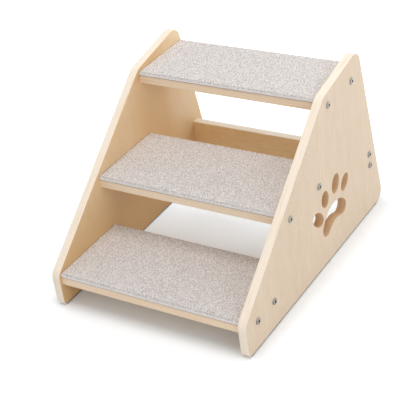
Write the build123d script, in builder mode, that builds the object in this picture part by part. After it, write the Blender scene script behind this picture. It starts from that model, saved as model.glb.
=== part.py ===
from build123d import *

import os
from math import atan2, degrees

# Three-step wooden pet stairs: two plywood side panels, three carpeted treads and a back rail,
# held together with furniture bolts and barrel nuts.
# X runs across the stairs, Y from the front to the back and Z up, in millimetres. The origin lies
# on the floor under the middle of the stairs.

# The whole stairs
overall_width = 360.0
overall_depth = 472.0
overall_height = 308.0
board_thickness = 15.0
edge_round = 1.5

# Anti-slip strips under the panels
strip_thickness = 2.0
strip_width = 12.0

# Treads: where each one starts and how deep it is, as shares of the overall depth, and the height
# of its upper face, as a share of the overall height
tread_start_shares = (0.0127, 0.3030, 0.6229)
tread_depth_shares = (0.3284, 0.3284, 0.2839)
tread_height_shares = (0.1786, 0.5130, 0.8961)

# Rounded corners of a side panel. The nose lies by the bottom tread and the bend by the top one,
# each this far below the tread's upper face.
front_foot_radius = 8.0
nose_radius = 20.0
nose_drop = 5.0
bend_radius = 30.0
bend_drop = 16.5
bend_setback_share = 0.6479
apex_radius = 22.0
apex_setback_share = 0.8581
back_foot_radius = 20.0

# Carpet pads
carpet_thickness = 6.0
carpet_overhang = 1.0
carpet_round = 3.5
carpet_clearance = 0.5

# Back rail: how far its rear face lies in front of the panels' back end, its height, and how far up
# its upper edge lies
rail_inset = 30.0
rail_height = 50.0
rail_top = 116.0

# Furniture bolts and barrel nuts
bolt_diameter = 6.0
bolt_length = 50.0
bolt_tip_chamfer = 0.8
head_diameter = 11.0
head_thickness = 2.2
head_crown = 1.6
socket_across_corners = 4.6
socket_depth = 2.6
bolt_hole_clearance = 0.5
nut_diameter = 10.0
nut_length = 12.0
nut_inset = 28.0
nut_hole_clearance = 0.1
nut_slot_width = 1.4
nut_slot_depth = 1.6

# Places of the bolts: distances from the front edge of each tread, and for the rail how far they
# lie apart and how far above its mid height
tread_bolt_places = ((28.0, 79.0), (14.0, 111.0), (12.0, 96.0))
rail_bolt_spacing = 21.0
rail_bolt_rise = 6.5

# Paw cut-out: a pad with a round top and two lobes, and four toes. The pad's place is the middle
# between its lobes, and its top and notch lie this far above and below that.
paw_setback_share = 0.6186
paw_height_share = 0.2857
paw_turn = 8.0
pad_place = (0.8, -21.1)
pad_rise = 28.0
pad_notch = 5.3
pad_lobe_radius = 13.4
pad_lobe_spread = 29.0
toe_places = ((49.5, 15.0), (21.0, 34.5), (-18.0, 32.0), (-48.5, 14.0))
toe_leans = (-52.0, -32.0, -5.0, 43.0)
toe_lengths = (32.0, 34.0, 30.0, 40.0)
toe_widths = (22.0, 25.0, 24.0, 24.0)

front = -overall_depth / 2
inner_face = overall_width / 2 - board_thickness
inner_width = 2 * inner_face
tread_names = ("bottom", "middle", "top")
tread_starts = [share * overall_depth for share in tread_start_shares]
tread_depths = [share * overall_depth for share in tread_depth_shares]
tread_heights = [share * overall_height for share in tread_height_shares]
rail_rear = overall_depth / 2 - rail_inset


def panel_outline():
    """The panel's outline: five corner rounds with straight edges drawn tight around them."""
    foot = strip_thickness
    rounds = (
        (front_foot_radius, foot + front_foot_radius, front_foot_radius),
        (nose_radius, tread_heights[0] - nose_drop, nose_radius),
        (overall_depth * bend_setback_share, tread_heights[-1] - bend_drop, bend_radius),
        (overall_depth * apex_setback_share, overall_height - apex_radius, apex_radius),
        (overall_depth - back_foot_radius, foot + back_foot_radius, back_foot_radius),
    )
    with BuildSketch() as outline:
        for setback, height, radius in rounds:
            with Locations((front + setback, height)):
                Circle(radius)
        make_hull()
    return outline.sketch


def paw_outline():
    """The paw, around its own middle: arcs that run into one another, and four leaning toes."""
    spread, lobe = pad_lobe_spread, pad_lobe_radius
    # The top round touches both lobes from outside, the notch's round touches them from between.
    top_radius = (spread**2 + pad_rise**2 - lobe**2) / (2 * (pad_rise - lobe))
    top_y = pad_rise - top_radius
    top_angle = degrees(atan2(-top_y, spread))
    notch_radius = (spread**2 + pad_notch**2 - lobe**2) / (2 * (lobe - pad_notch))
    notch_y = -pad_notch - notch_radius
    notch_angle = degrees(atan2(-notch_y, spread))
    with BuildSketch() as pad:
        with BuildLine():
            CenterArc((0, top_y), top_radius, top_angle, 90 - top_angle)
            CenterArc((spread, 0), lobe, notch_angle - 180, top_angle + 180 - notch_angle)
            CenterArc((0, notch_y), notch_radius, notch_angle, 90 - notch_angle)
            mirror(about=Plane.YZ)
        make_face()
    with BuildSketch() as whole:
        with Locations(pad_place):
            add(pad.sketch)
        for place, lean, length, width in zip(toe_places, toe_leans, toe_lengths, toe_widths):
            with Locations(Location((*place, 0), (0, 0, lean))):
                Ellipse(width / 2, length / 2)
    return whole.sketch


def bolt_places():
    """Setback and height of every bolt, by the piece that it holds."""
    places = {}
    for name, start, top, offsets in zip(tread_names, tread_starts, tread_heights, tread_bolt_places):
        places[name] = [(front + start + offset, top - board_thickness / 2) for offset in offsets]
    rail_y = rail_rear - board_thickness / 2
    rail_z = rail_top - rail_height / 2 + rail_bolt_rise
    places["rail"] = [(rail_y, rail_z + side * rail_bolt_spacing / 2) for side in (-1, 1)]
    return places


def side_panel(side):
    """One side panel with its paw and bolt holes, on the left (-1) or on the right (1)."""
    plane = Plane.YZ.offset(inner_face if side > 0 else -inner_face - board_thickness)
    holes = [place for row in bolt_places().values() for place in row]
    paw_place = (front + overall_depth * paw_setback_share, overall_height * paw_height_share, 0)
    with BuildPart() as panel:
        with BuildSketch(plane):
            add(panel_outline())
        extrude(amount=board_thickness)
        rims = panel.faces().filter_by(Axis.X)
        fillet([edge for rim in rims for edge in rim.outer_wire().edges()], edge_round)
        with BuildSketch(plane):
            with Locations(Location(paw_place, (0, 0, paw_turn))):
                add(paw_outline())
            with Locations(holes):
                Circle(bolt_diameter / 2 + bolt_hole_clearance)
        extrude(amount=board_thickness, mode=Mode.SUBTRACT)
    return panel.part


def tread(start, depth, top, offsets):
    """One tread, with bolt holes in its ends and barrel nut holes from below."""
    under = top - board_thickness
    with BuildPart() as board:
        with BuildSketch(Plane.YZ.offset(-inner_face)):
            with Locations((front + start + depth / 2, top - board_thickness / 2)):
                Rectangle(depth, board_thickness)
        extrude(amount=inner_width)
        fillet(board.edges().filter_by(Axis.X), edge_round)
        reach = bolt_length - board_thickness
        for offset in offsets:
            for side in (-1, 1):
                end = Plane(
                    origin=(side * inner_face, front + start + offset, top - board_thickness / 2),
                    z_dir=(-side, 0, 0),
                )
                with BuildSketch(end):
                    Circle(bolt_diameter / 2 + bolt_hole_clearance)
                extrude(amount=reach + bolt_hole_clearance, mode=Mode.SUBTRACT)
                with BuildSketch(Plane.XY.offset(under)):
                    with Locations((side * (inner_face - nut_inset), front + start + offset)):
                        Circle(nut_diameter / 2 + nut_hole_clearance)
                extrude(amount=(board_thickness + nut_length) / 2, mode=Mode.SUBTRACT)
    return board.part


def carpet(start, depth, top):
    """The woven pad on a tread, with rolled front and rear edges."""
    length = inner_width - 2 * carpet_clearance
    with BuildPart() as pad:
        with BuildSketch(Plane.YZ.offset(-length / 2)):
            with Locations((front + start - carpet_overhang, top)):
                Rectangle(depth + carpet_overhang, carpet_thickness, align=(Align.MIN, Align.MIN))
        extrude(amount=length)
        upper_edges = pad.edges().filter_by(Axis.X).group_by(Axis.Z)[-1]
        fillet(upper_edges, carpet_round)
    return pad.part


def bolt():
    """A furniture bolt along Z: crowned head above zero with a hexagon socket, shank below."""
    with BuildPart() as whole:
        with BuildSketch():
            Circle(head_diameter / 2)
        extrude(amount=head_thickness)
        fillet(whole.edges().group_by(Axis.Z)[-1], head_crown)
        with BuildSketch(Plane.XY.offset(head_thickness)):
            RegularPolygon(socket_across_corners / 2, 6)
        extrude(amount=-socket_depth, mode=Mode.SUBTRACT)
        with BuildSketch():
            Circle(bolt_diameter / 2)
        extrude(amount=-bolt_length)
        chamfer(whole.edges().group_by(Axis.Z)[0], bolt_tip_chamfer)
    return whole.part


def barrel_nut():
    """A barrel nut along Z, crossed by the bolt's bore along X, with a slot in its lower end."""
    with BuildPart() as whole:
        with BuildSketch():
            Circle(nut_diameter / 2)
        extrude(amount=nut_length / 2, both=True)
        with BuildSketch(Plane.YZ):
            Circle(bolt_diameter / 2)
        extrude(amount=nut_diameter, both=True, mode=Mode.SUBTRACT)
        with BuildSketch(Plane.XY.offset(-nut_length / 2)):
            Rectangle(nut_slot_width, nut_diameter)
        extrude(amount=nut_slot_depth, mode=Mode.SUBTRACT)
    return whole.part


def group(piece, places):
    """Copies of one fastener, each at its own place."""
    with BuildPart() as copies:
        with Locations(places):
            add(piece)
    return copies.part


def bolt_seats(spots):
    """Where the bolts' heads sit, on the outer face of both panels."""
    reach = overall_width / 2
    return [Location((side * reach, y, z), (0, side * 90, 0)) for side in (-1, 1) for y, z in spots]


def nut_seats(spots, turn):
    """Where the nuts' middles lie, and how their axes turn about X."""
    reach = inner_face - nut_inset
    return [Location((side * reach, y, z), (turn, 0, 0)) for side in (-1, 1) for y, z in spots]


parts = {"left_side_panel": side_panel(-1), "right_side_panel": side_panel(1)}
places = bolt_places()

for name, start, depth, top, offsets in zip(
    tread_names, tread_starts, tread_depths, tread_heights, tread_bolt_places
):
    parts[f"{name}_tread"] = tread(start, depth, top, offsets)
    parts[f"{name}_carpet"] = carpet(start, depth, top)
    parts[f"{name}_tread_bolts"] = group(bolt(), bolt_seats(places[name]))
    parts[f"{name}_tread_barrel_nuts"] = group(barrel_nut(), nut_seats(places[name], 0))

with BuildPart() as back_rail:
    with BuildSketch(Plane.YZ.offset(-inner_face)):
        with Locations((rail_rear, rail_top)):
            Rectangle(board_thickness, rail_height, align=(Align.MAX, Align.MAX))
    extrude(amount=inner_width)
    fillet(back_rail.edges().filter_by(Axis.X), edge_round)
    for bolt_y, bolt_z in places["rail"]:
        for side in (-1, 1):
            with BuildSketch(Plane(origin=(side * inner_face, bolt_y, bolt_z), z_dir=(-side, 0, 0))):
                Circle(bolt_diameter / 2 + bolt_hole_clearance)
            extrude(amount=bolt_length - board_thickness + bolt_hole_clearance, mode=Mode.SUBTRACT)
            nut_x = side * (inner_face - nut_inset)
            with BuildSketch(Plane(origin=(nut_x, rail_rear, bolt_z), z_dir=(0, -1, 0))):
                Circle(nut_diameter / 2 + nut_hole_clearance)
            extrude(amount=(board_thickness + nut_length) / 2, mode=Mode.SUBTRACT)
parts["back_rail"] = back_rail.part
parts["back_rail_bolts"] = group(bolt(), bolt_seats(places["rail"]))
parts["back_rail_barrel_nuts"] = group(barrel_nut(), nut_seats(places["rail"], 90))

for name, side in (("left", -1), ("right", 1)):
    strip_x = side * (inner_face + board_thickness / 2)
    with BuildPart() as strip:
        with BuildSketch():
            with Locations((strip_x, (front_foot_radius - back_foot_radius) / 2)):
                Rectangle(strip_width, overall_depth - front_foot_radius - back_foot_radius)
        extrude(amount=strip_thickness)
    parts[f"{name}_anti_slip_strip"] = strip.part

os.makedirs("parts", exist_ok=True)
for name, part in parts.items():
    part.label = name
    export_step(part, f"parts/{name}.step")
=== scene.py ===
import math
from collections import namedtuple

import bpy
from mathutils import Matrix, Vector, noise

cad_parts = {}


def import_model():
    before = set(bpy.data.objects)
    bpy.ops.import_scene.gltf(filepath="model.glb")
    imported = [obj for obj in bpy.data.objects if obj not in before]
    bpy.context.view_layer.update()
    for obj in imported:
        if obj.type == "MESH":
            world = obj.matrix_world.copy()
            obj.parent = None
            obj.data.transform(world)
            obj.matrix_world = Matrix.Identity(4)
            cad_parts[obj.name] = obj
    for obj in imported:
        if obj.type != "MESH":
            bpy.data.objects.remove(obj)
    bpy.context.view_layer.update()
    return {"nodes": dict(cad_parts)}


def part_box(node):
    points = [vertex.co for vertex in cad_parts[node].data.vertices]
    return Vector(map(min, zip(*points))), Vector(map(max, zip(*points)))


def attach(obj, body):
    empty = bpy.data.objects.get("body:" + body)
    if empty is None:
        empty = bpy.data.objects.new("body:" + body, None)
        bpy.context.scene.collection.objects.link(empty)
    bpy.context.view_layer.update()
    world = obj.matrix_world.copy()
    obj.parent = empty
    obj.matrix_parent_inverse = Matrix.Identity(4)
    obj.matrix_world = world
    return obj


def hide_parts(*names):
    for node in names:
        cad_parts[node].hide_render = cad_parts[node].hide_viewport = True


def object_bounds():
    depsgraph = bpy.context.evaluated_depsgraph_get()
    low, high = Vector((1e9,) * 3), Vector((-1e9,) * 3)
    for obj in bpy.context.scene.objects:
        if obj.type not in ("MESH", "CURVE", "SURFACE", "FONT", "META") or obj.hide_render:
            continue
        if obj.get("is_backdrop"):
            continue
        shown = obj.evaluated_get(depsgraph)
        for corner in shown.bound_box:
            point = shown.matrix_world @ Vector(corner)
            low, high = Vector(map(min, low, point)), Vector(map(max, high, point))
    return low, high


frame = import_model()
nodes = frame["nodes"]


# Shader building

WHITE = (1.0, 1.0, 1.0, 1.0)
# A kind of noise: waves to the metre, in all directions or in each, the amount of detail, its roughness, and
# the values between which a patch of it fades in
Noise = namedtuple("Noise", "waves detail rough low high", defaults=(0.5, 0.0, 1.0))


def linear(red, green, blue):
    """A colour given in display values from 0 to 255, as the shader wants it."""
    values = []
    for value in (red, green, blue):
        share = value / 255
        values.append(share / 12.92 if share <= 0.04045 else ((share + 0.055) / 1.055) ** 2.4)
    return (*values, 1.0)


def shade(colour, factors):
    """A colour with each channel made lighter or darker by its own factor."""
    return (*(min(1.0, value * factor) for value, factor in zip(colour, factors)), 1.0)


class Graph:
    """A node tree, with short calls for the nodes that repeat."""

    def __init__(self, tree):
        self.tree = tree
        tree.nodes.clear()

    def node(self, kind, *values, **settings):
        """A new node, its first sockets filled with values: numbers, colours, vectors or other sockets."""
        made = self.tree.nodes.new(kind)
        for key, value in settings.items():
            setattr(made, key, value)
        for socket, value in zip(made.inputs, values):
            self.put(socket, value)
        return made

    def put(self, socket, value):
        if isinstance(value, bpy.types.NodeSocket):
            self.tree.links.new(value, socket)
        else:
            socket.default_value = value

    def math(self, operation, *values):
        return self.node("ShaderNodeMath", *values, operation=operation).outputs[0]

    def vector(self, operation, *values):
        """A vector, or a number where the operation measures a length or a distance."""
        made = self.node("ShaderNodeVectorMath", *values, operation=operation)
        return made.outputs["Value" if operation in ("LENGTH", "DISTANCE") else "Vector"]

    def combine(self, *values):
        return self.node("ShaderNodeCombineXYZ", *values).outputs[0]

    def separate(self, vector):
        return self.node("ShaderNodeSeparateXYZ", vector).outputs

    def place(self):
        """The place on the object, in metres."""
        return self.node("ShaderNodeTexCoord").outputs["Object"]

    def facing(self):
        """The three parts of the way that the surface faces."""
        return self.separate(self.node("ShaderNodeNewGeometry").outputs["Normal"])

    def seen(self):
        """1 where the camera, a reflection or clear material looks, and 0 for the light on the object."""
        rays = self.node("ShaderNodeLightPath").outputs
        straight = self.math("MAXIMUM", rays["Is Camera Ray"], rays["Is Glossy Ray"])
        return self.math("MAXIMUM", straight, rays["Is Transmission Ray"])

    def noise(self, vector, kind):
        """The bare value of a kind of noise."""
        waves = kind.waves
        if isinstance(waves, tuple):
            vector = self.vector("MULTIPLY", vector, waves)
            waves = 1.0
        made = self.node("ShaderNodeTexNoise")
        inputs = (("Vector", vector), ("Scale", waves), ("Detail", kind.detail), ("Roughness", kind.rough))
        for name, value in inputs:
            self.put(made.inputs[name], value)
        return made.outputs["Fac"]

    def patches(self, vector, kind, least, most, smooth=False):
        """A number that goes from least to most where a kind of noise has its patches."""
        return self.remap(self.noise(vector, kind), kind.low, kind.high, least, most, smooth)

    def dice(self, column, row, layer):
        """A number from 0 to 1 for each whole column and row of a layer."""
        cell = self.combine(self.math("FLOOR", column), self.math("FLOOR", row), layer)
        return self.node("ShaderNodeTexWhiteNoise", cell, noise_dimensions="3D").outputs["Value"]

    def remap(self, value, low, high, out_low=0.0, out_high=1.0, smooth=False):
        """Goes from out_low to out_high as value goes from low to high, and stays there beyond."""
        kind = "SMOOTHSTEP" if smooth else "LINEAR"
        made = self.node("ShaderNodeMapRange", value, low, high, out_low, out_high, interpolation_type=kind)
        return made.outputs["Result"]

    def mix(self, share, one, other):
        """A colour that goes from one to the other as share goes from 0 to 1."""
        made = self.node("ShaderNodeMix", data_type="RGBA")
        sockets = {socket.identifier: socket for socket in made.inputs}
        for name, value in (("Factor_Float", share), ("A_Color", one), ("B_Color", other)):
            self.put(sockets[name], value)
        return next(socket for socket in made.outputs if socket.identifier == "Result_Color")


class Material(Graph):
    """A material with one principled shader."""

    def __init__(self, name):
        self.material = bpy.data.materials.new(name)
        self.material.use_nodes = True
        super().__init__(self.material.node_tree)
        self.shader = self.node("ShaderNodeBsdfPrincipled")
        self.node("ShaderNodeOutputMaterial", self.shader.outputs[0])

    def set(self, **inputs):
        """Fills sockets of the shader, named with underscores in place of spaces."""
        for name, value in inputs.items():
            self.put(self.shader.inputs[name.replace("_", " ")], value)

    def bump(self, height, distance, strength):
        made = self.node("ShaderNodeBump")
        for name, value in (("Height", height), ("Distance", distance), ("Strength", strength)):
            self.put(made.inputs[name], value)
        self.set(Normal=made.outputs["Normal"])


def dress(node, material):
    """Gives a node of the frame its only material."""
    node.data.materials.clear()
    node.data.materials.append(material)


# Plywood: the boards' make-up

PLY_COUNT = 7
BOARD = 0.015
# The share of a veneer over which its glue line fades out
GLUE_REACH = 0.2
# Distances from the board's middle between which the outermost veneer takes over
VENEER_FADE = (BOARD / 2 - 0.0012, BOARD / 2 - 0.0009)
# How squarely a surface faces along the thick axis where this veneer starts to show and where it shows whole,
# and where the rubbed tone of the arris does
VENEER_FACING = (0.55, 0.85)
ARRIS_FACING = (0.995, 0.90)

# Noises in the wood, with waves across the grain, along it and through the board
CLOUDS = Noise((9.0, 2.2, 1.0), 3.0, 0.5, 0.3, 0.7)
BAND_SWAY = Noise((14.0, 2.5, 1.0), 2.0)
FIBRES = Noise((420.0, 22.0, 420.0), 3.0, 0.6, 0.35, 0.7)
MOTTLE = Noise((75.0, 40.0, 1.0), 3.0, 0.65, 0.42, 0.66)
PORES = Noise((900.0, 70.0, 900.0), 1.0, 0.5, 0.62, 0.75)
# It makes the border of the painted shadow on the panels' inner veneers wander.
PAINTED_SHADOW_DRIFT = Noise((12.0, 3.0, 1.0), 2.0)
EDGE_PORES = Noise((650.0, 650.0, 900.0), 2.0, 0.5, 0.45, 0.75)
EDGE_WANDER = Noise((30.0, 30.0, 500.0), 2.0, 0.5, 0.35, 0.65)
EDGE_STREAKS = Noise((26.0, 8.0, 380.0), 2.0, 0.5, 0.50, 0.72)
RUBBED = Noise(40.0, 2.0, 0.5, 0.35, 0.7)

# Factors on red, green and blue that make a board's own tone into others
PALE = (1.06, 1.065, 1.08)
PLAIN = (1.0, 1.0, 1.0)
DEEP = (0.92, 0.86, 0.77)
DARK = (0.62, 0.50, 0.38)
# Painted warm shade and painted light from behind, on the panels' inner veneers
PAINTED_WARM_SHADE = (0.88, 0.77, 0.60)
PAINTED_REAR_LIGHT = (1.05, 1.09, 1.14)
END_GRAIN = (0.78, 0.72, 0.66)
STREAK = (0.88, 0.76, 0.62)

# Growth bands to the metre, and how many bands' width they sway
BANDS = 26.0
SWAY_WIDTH = 1.6
# The most that each feature of the grain shows
BAND_SHARE = 0.18
MOTTLE_SHARE = 0.42
FIBRE_SHARE = 0.50
PORE_SHARE = 0.22
GLUE_SHARE = 0.07
# The most that the painted shade and painted light show on the panels' inner veneers
PAINTED_SHADOW_SHARE = 0.75
PAINTED_FOOT_SHADE_SHARE = 0.80
PAINTED_REAR_LIGHT_SHARE = 0.80
# The most that the painted shade on the paw's walls shows
PAW_PAINTED_SHADE_SHARE = 0.80

# On the panels' inner veneers, painted shade and light: where the painted shadow of the top tread starts and
# ends along Y, how far its border wanders, the height of the painted warm shade at the foot, and where the
# painted light from behind starts along Y and above the foot
PAINTED_SHADOW_FRONT = (0.045, 0.095)
PAINTED_SHADOW_REAR = (0.185, 0.135)
PAINTED_SHADOW_WANDER = 0.06
PAINTED_FOOT_SHADE = (0.16, 0.06)
PAINTED_REAR_LIGHT_FRONT = (0.165, 0.215)
PAINTED_REAR_LIGHT_FOOT = (0.10, 0.17)

# The middle of the paw cut-out, how far from it the painted shade of its walls reaches, the distances from
# the stairs' middle between which their lip turns into the walls' depth, and both tones of the painted shade
PAW_MIDDLE = (0.0, 0.056, 0.088)
PAW_REACH = (0.085, 0.078)
PAW_LIP = (0.178, 0.166)
PAW_WALL_PAINTED_SHADE = linear(208, 156, 98)
PAW_LIP_PAINTED_SHADE = linear(216, 178, 130)

# The lacquer over the fibres: their values, and the roughness at each
WOOD_ROUGH = (0.3, 0.7, 0.42, 0.58)
LACQUER_IOR = 1.48
# The height of the relief, in metres, and its strength
WOOD_RELIEF = (0.00012, 0.6)


class Plywood(Material):
    """Plywood as a solid texture: veneers stacked along the board's thick axis about its middle. The veneer
    that faces the way of the thick axis has the face tone, the other one the back tone."""

    def __init__(self, name, board, middle):
        super().__init__(name)
        self.board = board
        self.middle = middle
        self.parts = self.separate(self.place())
        across = ({"X", "Y", "Z"} - {board.thick, board.grain}).pop()
        self.across = self.parts[across]
        self.thickness = self.math("SUBTRACT", self.parts[board.thick], middle)
        local = self.combine(self.across, self.parts[board.grain], self.thickness)
        self.local = self.vector("ADD", local, (board.seed, board.seed * 0.7, 0.0))
        self.way = self.facing()[board.thick]
        self.forth = self.remap(self.way, -0.2, 0.2)
        self.fibres = self.noise(self.local, FIBRES)
        self.layer = self.math("MULTIPLY_ADD", self.thickness, PLY_COUNT / BOARD, PLY_COUNT / 2)
        glue = self.math("PINGPONG", self.math("FRACT", self.layer), 0.5)
        self.glue = self.remap(glue, 0.0, GLUE_REACH, 1.0, 0.0, smooth=True)

    def tone(self, factors):
        """The tone of this side's veneer, changed by factors."""
        return self.mix(self.forth, shade(self.board.back, factors), shade(self.board.face, factors))

    def skin(self):
        """The grain of the outermost veneers: clouds, wavy bands, a soft mottle, fibres and short pores."""
        figure = self.board.figure
        pale, deep = self.tone(PALE), self.tone(DEEP)
        sway = self.noise(self.local, BAND_SWAY)
        band = self.math("MULTIPLY_ADD", sway, SWAY_WIDTH, self.math("MULTIPLY", self.across, BANDS))
        band = self.math("SINE", self.math("MULTIPLY", band, 2 * math.pi))
        clouds = self.patches(self.local, CLOUDS, 0.0, 1.0)
        mottle = self.patches(self.local, MOTTLE, 0.0, MOTTLE_SHARE)
        pores = self.patches(self.local, PORES, 0.0, PORE_SHARE * figure, smooth=True)
        skin = self.mix(clouds, pale, self.tone(PLAIN))
        skin = self.mix(self.remap(band, -1.0, 1.0, 0.0, BAND_SHARE * figure), skin, deep)
        skin = self.mix(mottle, skin, pale)
        fibres = self.remap(self.fibres, FIBRES.low, FIBRES.high, 0.0, FIBRE_SHARE * figure)
        skin = self.mix(fibres, skin, deep)
        return self.mix(pores, skin, self.tone(DARK))

    def inner_painted_shade_and_light(self, skin):
        """Paints a broad band of tread shadow, warm shade at the foot and light at the rear on a panel's
        inner veneer.
        """
        inward = self.forth if self.middle < 0 else self.math("SUBTRACT", 1.0, self.forth)
        height = self.parts["Z"]
        # A broad band of painted shadow, where the top tread shades the inner face
        drift = self.noise(self.local, PAINTED_SHADOW_DRIFT)
        along = self.math("MULTIPLY_ADD", drift, PAINTED_SHADOW_WANDER, self.parts["Y"])
        painted_shadow = self.math("MULTIPLY", self.remap(along, *PAINTED_SHADOW_FRONT, 0.0, PAINTED_SHADOW_SHARE, smooth=True),
                          self.remap(along, *PAINTED_SHADOW_REAR, smooth=True))
        # Painted warm shade towards the foot, near the floor
        foot = self.remap(height, *PAINTED_FOOT_SHADE, 0.0, PAINTED_FOOT_SHADE_SHARE, smooth=True)
        # Painted light from behind, towards the rear and above the foot
        painted_rear_light = self.math("MULTIPLY", self.remap(along, *PAINTED_REAR_LIGHT_FRONT, 0.0, PAINTED_REAR_LIGHT_SHARE, smooth=True),
                        self.remap(height, *PAINTED_REAR_LIGHT_FOOT, smooth=True))
        painted_shade_mask = self.math("MAXIMUM", painted_shadow, foot)
        skin = self.mix(self.math("MULTIPLY", inward, painted_rear_light), skin, self.tone(PAINTED_REAR_LIGHT))
        return self.mix(self.math("MULTIPLY", inward, painted_shade_mask), skin, self.tone(PAINTED_WARM_SHADE))

    def rim(self):
        """The veneers as the edges show them, every second one across the grain, with thin glue lines."""
        edge, cross = self.board.edge, self.board.cross
        every_second = self.math("PINGPONG", self.math("FLOOR", self.layer), 1.0)
        pores = self.patches(self.local, EDGE_PORES, 0.0, 0.20)
        wander = self.patches(self.local, EDGE_WANDER, 0.0, 0.25)
        streaks = self.patches(self.local, EDGE_STREAKS, 0.0, 0.45, smooth=True)
        rim = self.mix(every_second, edge, cross)
        rim = self.mix(pores, rim, shade(cross, END_GRAIN))
        rim = self.mix(wander, rim, edge)
        rim = self.mix(streaks, rim, shade(cross, STREAK))
        return self.mix(self.math("MULTIPLY", self.glue, GLUE_SHARE), rim, shade(cross, DARK))

    def paw_painted_shade(self, rim):
        """Paints shade on the walls of a panel's paw cut-out: browner than its sanded rims, darker deep in.
        """
        flat = self.combine(0.0, self.parts["Y"], self.parts["Z"])
        reach = self.vector("DISTANCE", flat, PAW_MIDDLE)
        deep_in = self.remap(self.math("ABSOLUTE", self.parts["X"]), *PAW_LIP, smooth=True)
        # Painted shade, darker deep in the cut-out than at its lip
        painted_wall_shade = self.mix(deep_in, PAW_LIP_PAINTED_SHADE, PAW_WALL_PAINTED_SHADE)
        return self.mix(self.remap(reach, *PAW_REACH, 0.0, PAW_PAINTED_SHADE_SHARE), rim, painted_wall_shade)

    def coat(self, skin, rim):
        """Shows skin wherever the outermost veneer is and rim elsewhere, under a matt lacquer."""
        facing = self.math("ABSOLUTE", self.way)
        outer = self.remap(self.math("ABSOLUTE", self.thickness), *VENEER_FADE)
        veneer = self.math("MULTIPLY", outer, self.remap(facing, *VENEER_FACING))
        colour = self.mix(veneer, rim, skin)
        # The rounded arris is rubbed a little darker than the flats beside it.
        worn = self.math("MULTIPLY", outer, self.remap(facing, *ARRIS_FACING))
        rubbed = self.math("MULTIPLY", worn, self.patches(self.local, RUBBED, 0.05, 0.30))
        colour = self.mix(rubbed, colour, self.tone(DEEP))
        self.set(Base_Color=colour, Roughness=self.remap(self.fibres, *WOOD_ROUGH), IOR=LACQUER_IOR)
        # The fibres stand up a little everywhere, and the glue lines lie lower on the edges.
        grain = self.math("MULTIPLY", self.fibres, 0.5)
        relief = self.math("MULTIPLY_ADD", self.glue, self.math("SUBTRACT", veneer, 1.0), grain)
        self.bump(relief, *WOOD_RELIEF)


def plywood(name, board, middle):
    """The material of a board. The panels get painted shade and light inside, and painted shade on the paw's
    walls.
    """
    wood = Plywood(name, board, middle)
    skin, rim = wood.skin(), wood.rim()
    if board.thick == "X":
        skin, rim = wood.inner_painted_shade_and_light(skin), wood.paw_painted_shade(rim)
    wood.coat(skin, rim)
    return wood.material


# Plywood: the six boards

OUTER = linear(222, 202, 178)
# The wood's tone made warmer and more saturated than OUTER: painted warm shade of light bounced between the
# boards, on the panels' inner faces and the treads' undersides.
INNER_PAINTED_WARM_SHADE = linear(234, 204, 163)
# The rail's front face is brighter and warmer than the other wood: painted light, warmed like light bounced
# off the wood, on a face in shade under the top tread.
RAIL_FRONT_PAINTED_LIGHT = linear(255, 222, 174)
# The rail's edges are paler than the other rims: painted light from behind on edges that the top tread
# shades.
RAIL_RIM_PAINTED_LIGHT = linear(255, 250, 240)
RAIL_CROSS_PAINTED_LIGHT = linear(254, 244, 229)
RIM = linear(252, 239, 223)
CROSS = linear(247, 231, 211)
TREAD_RIM = linear(248, 225, 196)
TREAD_CROSS = linear(242, 214, 182)
# The middle tread's edges are paler than the other treads': painted light on a front that gets less light.
MIDDLE_RIM_PAINTED_LIGHT = linear(253, 234, 208)
MIDDLE_CROSS_PAINTED_LIGHT = linear(248, 223, 192)

# The axes of thickness and grain, the seed, the tones of the face, the back, the edges' veneers along and
# across the grain, and how strongly the grain shows
Board = namedtuple("Board", "thick grain seed face back edge cross figure")
boards = {
    "left_side_panel": Board("X", "Z", 3.1, INNER_PAINTED_WARM_SHADE, OUTER, RIM, CROSS, 1.0),
    "right_side_panel": Board("X", "Z", 7.7, OUTER, INNER_PAINTED_WARM_SHADE, RIM, CROSS, 1.0),
    "bottom_tread": Board("Z", "X", 1.3, OUTER, INNER_PAINTED_WARM_SHADE, TREAD_RIM, TREAD_CROSS, 1.0),
    "middle_tread": Board("Z", "X", 5.9, OUTER, INNER_PAINTED_WARM_SHADE, MIDDLE_RIM_PAINTED_LIGHT, MIDDLE_CROSS_PAINTED_LIGHT, 1.0),
    "top_tread": Board("Z", "X", 9.2, OUTER, INNER_PAINTED_WARM_SHADE, TREAD_RIM, TREAD_CROSS, 1.0),
    "back_rail": Board("Y", "X", 12.4, OUTER, RAIL_FRONT_PAINTED_LIGHT, RAIL_RIM_PAINTED_LIGHT, RAIL_CROSS_PAINTED_LIGHT, 1.8),
}
for name, board in boards.items():
    low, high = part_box(name)
    axis = "XYZ".index(board.thick)
    dress(nodes[name], plywood("plywood_" + name, board, (low[axis] + high[axis]) / 2))


# Metal and rubber

BOLT = linear(150, 149, 145)
NUT = linear(168, 168, 165)
DULL = (0.72, 0.72, 0.72)
# Painted shade for the floor of the bolts' sockets
SOCKET_PAINTED_SHADE = linear(34, 33, 32)
DULLING = Noise(160.0, 3.0, 0.5, 0.35, 0.75)
TURNING = Noise((300.0, 2500.0, 2500.0), 2.0)
TURNING_RELIEF = (0.00002, 0.5)
# The distances from the stairs' middle between which the floor of a bolt's socket starts, and how squarely it
# faces out
SOCKET_FLOOR = (0.1813, 0.1809)
SOCKET_FACING = (0.8, 0.95)
RUBBER = linear(14, 12, 11)
RUBBER_DUST = linear(30, 26, 23)
DUST = Noise(60.0, 3.0)
PEBBLE = Noise(1400.0, 2.0)
PEBBLE_RELIEF = (0.00008, 0.6)


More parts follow.
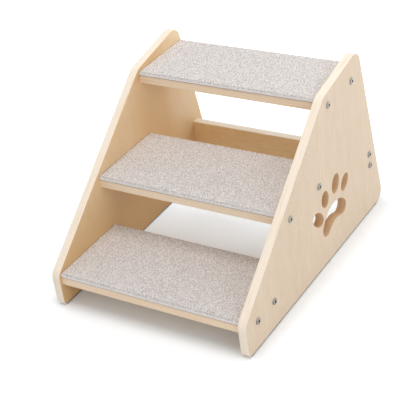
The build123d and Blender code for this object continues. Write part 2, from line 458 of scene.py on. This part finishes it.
def steel(name, colour, rough):
    """Plated steel with fine turning marks, a little dulling and painted shade on the floor of the bolts'
    sockets.
    """
    g = Material(name)
    spot = g.place()
    turning = g.noise(spot, TURNING)
    tone = g.mix(g.patches(spot, DULLING, 0.0, 0.6), colour, shade(colour, DULL))
    # The floor of a bolt's socket is painted dark: painted shade in the recess.
    depth = g.remap(g.math("ABSOLUTE", g.separate(spot)["X"]), *SOCKET_FLOOR)
    squarely = g.remap(g.math("ABSOLUTE", g.facing()["X"]), *SOCKET_FACING)
    g.set(Base_Color=g.mix(g.math("MULTIPLY", depth, squarely), tone, SOCKET_PAINTED_SHADE))
    g.set(Metallic=1.0, Roughness=g.remap(turning, 0.3, 0.7, rough - 0.06, rough + 0.1))
    g.bump(turning, *TURNING_RELIEF)
    return g.material


def rubber(name):
    """Matt black rubber with a fine pebble."""
    g = Material(name)
    spot = g.place()
    pebble = g.noise(spot, PEBBLE)
    g.set(Base_Color=g.mix(g.noise(spot, DUST), RUBBER, RUBBER_DUST))
    g.set(Roughness=g.remap(pebble, 0.3, 0.7, 0.7, 0.9))
    g.bump(pebble, *PEBBLE_RELIEF)
    return g.material


finishes = {
    "_bolts": steel("bolt_steel", BOLT, 0.28),
    "_barrel_nuts": steel("nut_steel", NUT, 0.36),
    "_strip": rubber("anti_slip"),
}
for name, node in nodes.items():
    for ending, material in finishes.items():
        if name.endswith(ending):
            dress(node, material)


# Carpet pads: the weave, which the material and the mesh share

LOOP_X = 0.0028
LOOP_Y = 0.0027
# Each row of loops is moved sideways by its own share, so that no diagonals show.
SHIFT = 0.1357
# The columns sway by a share of a loop, along a wave in radians for each metre across and for each row.
SWAY = 0.25
SWAY_ACROSS = 180.0
SWAY_ROW = 2.1

# Carpet pads: the material

PILE_PALE = linear(247, 242, 240)
PILE_LIGHT = linear(228, 221, 217)
PILE_MID = linear(206, 198, 194)
PILE_DEEP = linear(140, 131, 126)
BACKING_TONE = linear(92, 80, 72)
# Noises in the pile, with waves across the stairs, from front to rear, and from carpet to carpet
YARN = Noise((620.0, 700.0, 1.0), 2.0, 0.6)
FLUFF = Noise(2200.0, 3.0, 0.7)
PILE_CLOUD = Noise((14.0, 22.0, 1.0), 3.0)
LONG_STITCH = Noise((180.0, 640.0, 1.0), 1.0)
TALL_STITCH = Noise((640.0, 260.0, 1.0), 1.0)
# How pale a light loop is, and how deep a darker one, at the least and at the most
LIGHT_LOOP = (0.0, 0.30)
DARK_LOOP = (0.05, 0.36)
# A carpet's height above the floor, times this, keeps its stitches apart from the other carpets' ones.
OWN = 100.0
# The height on the pad's side from which the weave runs on round the edge
EDGE_TURN = 0.0048
# Places along the weave between which a darker band on top of the rolled front edge starts, and between which
# it ends
FRONT_EDGE_BAND = (0.0008, 0.0020)
FRONT_EDGE_BAND_END = (0.0040, 0.0030)
# Heights at which the painted light on the pad's side and the backing start and are whole
SIDE_PAINTED_LIGHT = (0.0045, 0.0030)
BACKING = (0.0013, 0.0)
# Values of the fluff, and the roughness at each
PILE_ROUGH = (0.3, 0.7, 0.85, 0.98)
PILE_RELIEF = (0.0003, 0.4)


def carpet_grid(g):
    """Where a point of the pile lies: across, along the weave and up, its column and row of loops, and the
    carpet's height."""
    x, y, z = g.separate(g.place())
    run = g.math("ADD", y, g.math("MINIMUM", g.math("SUBTRACT", z, EDGE_TURN), 0.0))
    row = g.math("DIVIDE", run, LOOP_Y)
    whole = g.math("FLOOR", row)
    shift = g.math("POWER", g.math("ABSOLUTE", whole), 2.0)
    shift = g.math("FRACT", g.math("MULTIPLY", shift, SHIFT))
    sway = g.math("SINE", g.math("MULTIPLY_ADD", whole, SWAY_ROW, g.math("MULTIPLY", x, SWAY_ACROSS)))
    column = g.math("MULTIPLY_ADD", sway, SWAY, g.math("DIVIDE", x, LOOP_X))
    column = g.math("MULTIPLY_ADD", shift, 2.0, column)
    own = g.separate(g.node("ShaderNodeObjectInfo").outputs["Location"])["Z"]
    return x, run, z, column, row, own


def loop_check(g, column, row, own):
    """Light and darker loops in turn, each one with its own share of another tone."""
    dice = g.dice(column, row, g.math("MULTIPLY", own, OWN))
    over = g.mix(g.remap(dice, 0.0, 1.0, *LIGHT_LOOP), PILE_LIGHT, PILE_PALE)
    under = g.mix(g.remap(dice, 0.0, 1.0, *DARK_LOOP), PILE_LIGHT, PILE_DEEP)
    whole = g.math("ADD", g.math("FLOOR", column), g.math("FLOOR", row))
    return g.mix(g.math("PINGPONG", whole, 1.0), over, under)


def gap_painted_shade(g, place):
    """Where shade is painted between loops: 1 between two loops and 0 from a quarter of a loop away."""
    return g.remap(g.math("PINGPONG", place, 0.5), 0.0, 0.25, 1.0, 0.0, smooth=True)


def carpet_material():
    """A fine woven check of beige-grey loops, each with its own tone, with painted shade between the loops,
    painted light on the pad's side and a dark backing.
    """
    g = Material("carpet")
    x, run, z, column, row, own = carpet_grid(g)
    spot = g.combine(x, run, own)
    stitch = g.dice(g.math("MULTIPLY", column, 2.0), g.math("MULTIPLY", row, 2.0),
                    g.math("MULTIPLY_ADD", own, OWN, 7.0))
    yarn = g.noise(spot, YARN)
    fluff = g.noise(spot, FLUFF)
    # Each row lays a tone over those before it: none at the first value, and the last number at the second.
    layers = (
        (stitch, PILE_DEEP, 0.45, 1.0, 0.66),
        (stitch, PILE_PALE, 0.55, 0.0, 0.75),
        (g.noise(spot, LONG_STITCH), PILE_DEEP, 0.50, 0.75, 0.30),
        (g.noise(spot, TALL_STITCH), PILE_PALE, 0.50, 0.75, 0.20),
        (yarn, PILE_DEEP, 0.45, 0.70, 0.32),
        (yarn, PILE_PALE, 0.45, 0.30, 0.32),
        (g.noise(spot, PILE_CLOUD), PILE_MID, 0.35, 0.7, 0.05),
        # The two gap rows paint shade between the loops.
        (gap_painted_shade(g, column), PILE_DEEP, 0.0, 1.0, 0.12),
        (gap_painted_shade(g, row), PILE_DEEP, 0.0, 1.0, 0.10),
        (fluff, PILE_LIGHT, 0.45, 0.75, 0.25),
    )
    colour = loop_check(g, column, row, own)
    for value, tone, start, end, share in layers:
        colour = g.mix(g.remap(value, start, end, 0.0, share), colour, tone)
    first = g.math("MULTIPLY", g.remap(run, *FRONT_EDGE_BAND), g.remap(run, *FRONT_EDGE_BAND_END))
    colour = g.mix(g.math("MULTIPLY", first, 0.30), colour, PILE_DEEP)
    # The pad's side is painted paler: painted light on a side that gets little of it.
    colour = g.mix(g.remap(z, *SIDE_PAINTED_LIGHT, 0.0, 0.6), colour, PILE_PALE)
    colour = g.mix(g.remap(z, *BACKING, 0.0, 0.85), colour, BACKING_TONE)
    g.set(Base_Color=colour, Roughness=g.remap(fluff, *PILE_ROUGH))
    g.set(Sheen_Weight=0.2, Sheen_Roughness=0.6, Specular_IOR_Level=0.2)
    g.bump(g.math("ADD", fluff, yarn), *PILE_RELIEF)
    return g.material


# Carpet pads: the mesh

LOOP_HEIGHT = 0.0005
# Shares of LOOP_HEIGHT: the pile between loops, what a high and a low loop and the yarn add at most, and the
# level that lies in the CAD solid's surface
PILE_MIDDLE = 0.55
HIGH_LOOP = 0.40
LOW_LOOP = -0.20
YARN_RISE = 0.15
SURFACE = 0.85
YARN_WAVES = 700.0
# The relief fades out over this height above the tread, and over so many columns towards either end.
CALM_FOOT = 0.0015
CALM_COLUMNS = 2
ROLL = 0.0035
STEP_ACROSS = 0.0010
STEP_ALONG = 0.00075


def carpet_profile(depth, height):
    """Points of the pile's line from the front foot over the top to the rear foot: their place from the front
    and up, the way that they face, and their place along the weave."""
    corner = math.pi / 2 * ROLL
    side = height - ROLL
    flat = depth - 2 * ROLL
    whole = 2 * side + 2 * corner + flat
    count = round(whole / STEP_ALONG)
    line = []
    for k in range(count + 1):
        gone = whole * k / count
        along = gone - side - corner + ROLL
        if gone < side:
            point = (0.0, gone, -1.0, 0.0)
        elif gone < side + corner:
            turn = (gone - side) / ROLL
            back, up = math.cos(turn), math.sin(turn)
            point = (ROLL - ROLL * back, side + ROLL * up, -back, up)
        elif gone < side + corner + flat:
            point = (along, height, 0.0, 1.0)
        elif gone < side + 2 * corner + flat:
            turn = (gone - side - corner - flat) / ROLL
            back, up = math.sin(turn), math.cos(turn)
            point = (depth - ROLL + ROLL * back, side + ROLL * up, back, up)
        else:
            point = (depth, whole - gone, 1.0, 0.0)
        line.append((*point, along))
    return line


def loop_height(x, along, seed):
    """How far the pile stands up at one spot, from about 0.2 on a low loop to about 1 on a high one."""
    row = math.floor(along / LOOP_Y)
    across = x / LOOP_X + SWAY * math.sin(SWAY_ACROSS * x + SWAY_ROW * row) + 2 * (row * row * SHIFT % 1.0)
    column = math.floor(across)
    dice = noise.cell(Vector((column + 0.5, row + 0.5, seed)))
    fx, fy = across - column, along / LOOP_Y - row
    swell = math.sin(math.pi * fx) ** 0.5 * math.sin(math.pi * fy) ** 0.5
    yarn = noise.noise(Vector((x * YARN_WAVES, along * YARN_WAVES, seed)))
    rise = HIGH_LOOP * (0.6 + 0.4 * dice) if (row + column) % 2 == 0 else LOW_LOOP
    return PILE_MIDDLE + rise * swell + YARN_RISE * yarn


def carpet_points(low, high, columns, line, seed):
    """The pad's points, one line from front to rear after the other across the stairs."""
    points = []
    for i in range(columns + 1):
        x = low.x + (high.x - low.x) * i / columns
        calm = min(1.0, min(i, columns - i) / CALM_COLUMNS)
        for y, z, out_y, out_z, along in line:
            foot = min(1.0, z / CALM_FOOT)
            lift = (loop_height(x, along, seed) - SURFACE) * LOOP_HEIGHT * calm * foot
            points.append((x, y + out_y * lift, z + out_z * lift))
    return points


def carpet_faces(columns, rows):
    """Quads over the pile and along the underside, and one face on each end."""
    faces = []
    for i in range(columns):
        start = i * rows
        for k in range(start, start + rows - 1):
            faces.append((k, k + rows, k + rows + 1, k + 1))
        faces.append((start, start + rows - 1, start + 2 * rows - 1, start + rows))
    last = columns * rows
    faces.append(tuple(range(rows)))
    faces.append(tuple(reversed(range(last, last + rows))))
    return faces


def carpet(name, node, seed):
    """A looped pad in the place of its plain CAD solid."""
    low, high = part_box(node)
    line = carpet_profile(high.y - low.y, high.z - low.z)
    columns = round((high.x - low.x) / STEP_ACROSS)
    mesh = bpy.data.meshes.new(name)
    points = carpet_points(low, high, columns, line, seed)
    mesh.from_pydata(points, [], carpet_faces(columns, len(line)))
    mesh.validate()
    mesh.update()
    for polygon in mesh.polygons:
        polygon.use_smooth = len(polygon.vertices) == 4
    piece = bpy.data.objects.new(name, mesh)
    piece.location = (0.0, low.y, low.z)
    bpy.context.scene.collection.objects.link(piece)
    return piece


pile = carpet_material()
for step, seed in (("bottom", 11.5), ("middle", 23.5), ("top", 37.5)):
    node = step + "_carpet"
    low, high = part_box(node)
    pad = carpet(step + "_carpet_pad", node, seed)
    pad.data.materials.append(pile)
    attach(pad, "root")
    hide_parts(node)


# Floor and background

WORLD_LIGHT = 0.60
FLOOR_HALF = 6.0
# A little below the strips' underside, so that the two don't share a plane
FLOOR_LEVEL = -0.0003
FLOOR_TONES = ((0.90, 0.92, 0.94, 1.0), (0.91, 0.93, 0.95, 1.0))
FLOOR_CLOUD = Noise(30.0, 3.0)
# The middle and the half size of the ground that the stairs take up, for the floor's glow
GROUND_MIDDLE = (0.010, 0.0, 0.0)
GROUND_HALF = (0.178, 0.217, 0.0)
# The glow beside the stairs, which close to them is painted light that narrows the floor's shadow: distances
# from them, and the glow at each
GLOW_NEAR_PAINTED_LIGHT = (0.0, 0.030, 0.02, 0.16)
GLOW_FAR = (0.02, 0.6, 0.0, 0.84)
# Under the stairs and close beside them the glow is cool: painted light that cancels the warm light bounced
# off the wood.
COOL_PAINTED_LIGHT_REACH = (0.0, 0.03)
COOL_PAINTED_LIGHT = (0.71, 0.86, 0.97, 1.0)
# The glow under the stairs, painted light in place of light from behind: places along Y and the glow at each,
# places along X and a factor at each, more by the left panel's foot, and how far to either side it holds
UNDER_PAINTED_LIGHT_FRONT = (-0.055, 0.09, 0.075, 0.57)
UNDER_PAINTED_LIGHT_REAR = (0.19, 0.24, 0.57, 0.04)
UNDER_PAINTED_LIGHT_LEFT = (-0.165, -0.08, 1.25, 1.0)
UNDER_PAINTED_LIGHT_HALF = 0.1725


def floor_glow_and_painted_light(g, spot, beside):
    """How much the floor shines: more with the distance from the stairs, and under them as painted light
    from behind.
    """
    x, y, _ = g.separate(spot)
    # Close beside the stairs the glow rises within a few centimetres: painted light that narrows the floor's
    # shadow.
    outside = g.math("ADD", g.remap(beside, *GLOW_NEAR_PAINTED_LIGHT), g.remap(beside, *GLOW_FAR))
    # Under the stairs: painted light in place of light from behind, stronger by the left panel's foot.
    under = g.math("MINIMUM", g.remap(y, *UNDER_PAINTED_LIGHT_FRONT), g.remap(y, *UNDER_PAINTED_LIGHT_REAR))
    under = g.math("MULTIPLY", under, g.remap(x, *UNDER_PAINTED_LIGHT_LEFT))
    under = g.math("MULTIPLY", under, g.math("LESS_THAN", g.math("ABSOLUTE", x), UNDER_PAINTED_LIGHT_HALF))
    return g.math("MAXIMUM", outside, under)


def floor_material():
    """A pale floor that keeps its shadow, narrowed and lifted by painted light near and under the stairs, and
    runs out into the white of the background.
    """
    g = Material("pale_floor")
    spot = g.place()
    beside = g.vector("ABSOLUTE", g.vector("SUBTRACT", spot, GROUND_MIDDLE))
    beside = g.vector("MAXIMUM", g.vector("SUBTRACT", beside, GROUND_HALF), (0.0, 0.0, 0.0))
    beside = g.vector("LENGTH", beside)
    g.set(Base_Color=g.mix(g.noise(spot, FLOOR_CLOUD), *FLOOR_TONES))
    g.set(Roughness=0.9, Specular_IOR_Level=0.0)
    # Cool painted light near and under the stairs, white further out
    g.set(Emission_Color=g.mix(g.remap(beside, *COOL_PAINTED_LIGHT_REACH), COOL_PAINTED_LIGHT, WHITE))
    g.set(Emission_Strength=g.math("MULTIPLY", g.seen(), floor_glow_and_painted_light(g, spot, beside)))
    return g.material


def floor():
    """One large square, which is no part of the stairs."""
    ways = ((-1, -1), (1, -1), (1, 1), (-1, 1))
    corners = [(x * FLOOR_HALF, y * FLOOR_HALF, FLOOR_LEVEL) for x, y in ways]
    mesh = bpy.data.meshes.new("floor")
    mesh.from_pydata(corners, [], [(0, 1, 2, 3)])
    mesh.materials.append(floor_material())
    made = bpy.data.objects.new("floor", mesh)
    bpy.context.scene.collection.objects.link(made)
    made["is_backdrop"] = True


def world():
    """White wherever the camera or a reflection sees it, and a plain level of light on the object."""
    made = bpy.data.worlds.new("studio")
    made.use_nodes = True
    bpy.context.scene.world = made
    g = Graph(made.node_tree)
    background = g.node("ShaderNodeBackground", WHITE, g.remap(g.seen(), 0.0, 1.0, WORLD_LIGHT, 1.0))
    g.node("ShaderNodeOutputWorld", background.outputs[0])


# Lamps and camera

# Name, place, target, diameter and power of each lamp
LAMPS = (
    ("overhead", (0.1, -0.3, 2.7), (0.0, 0.0, 0.1), 1.5, 25.0),
    ("behind", (0.8, 1.45, 1.15), (0.0, 0.1, 0.0), 0.9, 7.5),
    ("right", (2.2, -0.9, 1.3), (0.0, 0.0, 0.15), 1.4, 7.5),
)
# The photograph's camera, as measured from the object's edges
CAMERA_PLACE = (0.96507, -1.37743, 1.14282)
AZIMUTH = math.radians(36.296)
ELEVATION = math.radians(29.476)
TILT = math.radians(8.896)
SENSOR = 36.0
FOCAL_LENGTH = 108.05
CAMERA_SHIFT = (0.02876, -0.11470)
CLIP = (0.05, 50.0)


def lamp(name, place, target, size, power):
    """A round lamp that faces its target."""
    data = bpy.data.lights.new(name, "AREA")
    data.shape = "DISK"
    data.size = size
    data.energy = power
    made = bpy.data.objects.new(name, data)
    made.location = place
    made.rotation_mode = "QUATERNION"
    made.rotation_quaternion = (Vector(target) - Vector(place)).to_track_quat("-Z", "Y")
    bpy.context.scene.collection.objects.link(made)


def camera():
    """The camera of the photograph, turned about its line of sight by the tilt."""
    look = Vector((-math.sin(AZIMUTH) * math.cos(ELEVATION), math.cos(AZIMUTH) * math.cos(ELEVATION),
                   -math.sin(ELEVATION)))
    right = look.cross(Vector((0.0, 0.0, 1.0))).normalized()
    up = right.cross(look)
    side = math.cos(TILT) * right - math.sin(TILT) * up
    top = math.sin(TILT) * right + math.cos(TILT) * up
    data = bpy.data.cameras.new("camera")
    data.sensor_width = SENSOR
    data.lens = FOCAL_LENGTH
    data.shift_x, data.shift_y = CAMERA_SHIFT
    data.clip_start, data.clip_end = CLIP
    made = bpy.data.objects.new("camera", data)
    turn = Matrix((side, top, -look)).transposed().to_4x4()
    made.matrix_world = Matrix.Translation(CAMERA_PLACE) @ turn
    bpy.context.scene.collection.objects.link(made)
    bpy.context.scene.camera = made


floor()
world()
for row in LAMPS:
    lamp(*row)
camera()
bpy.context.scene.view_settings.view_transform = "Standard"

low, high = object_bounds()
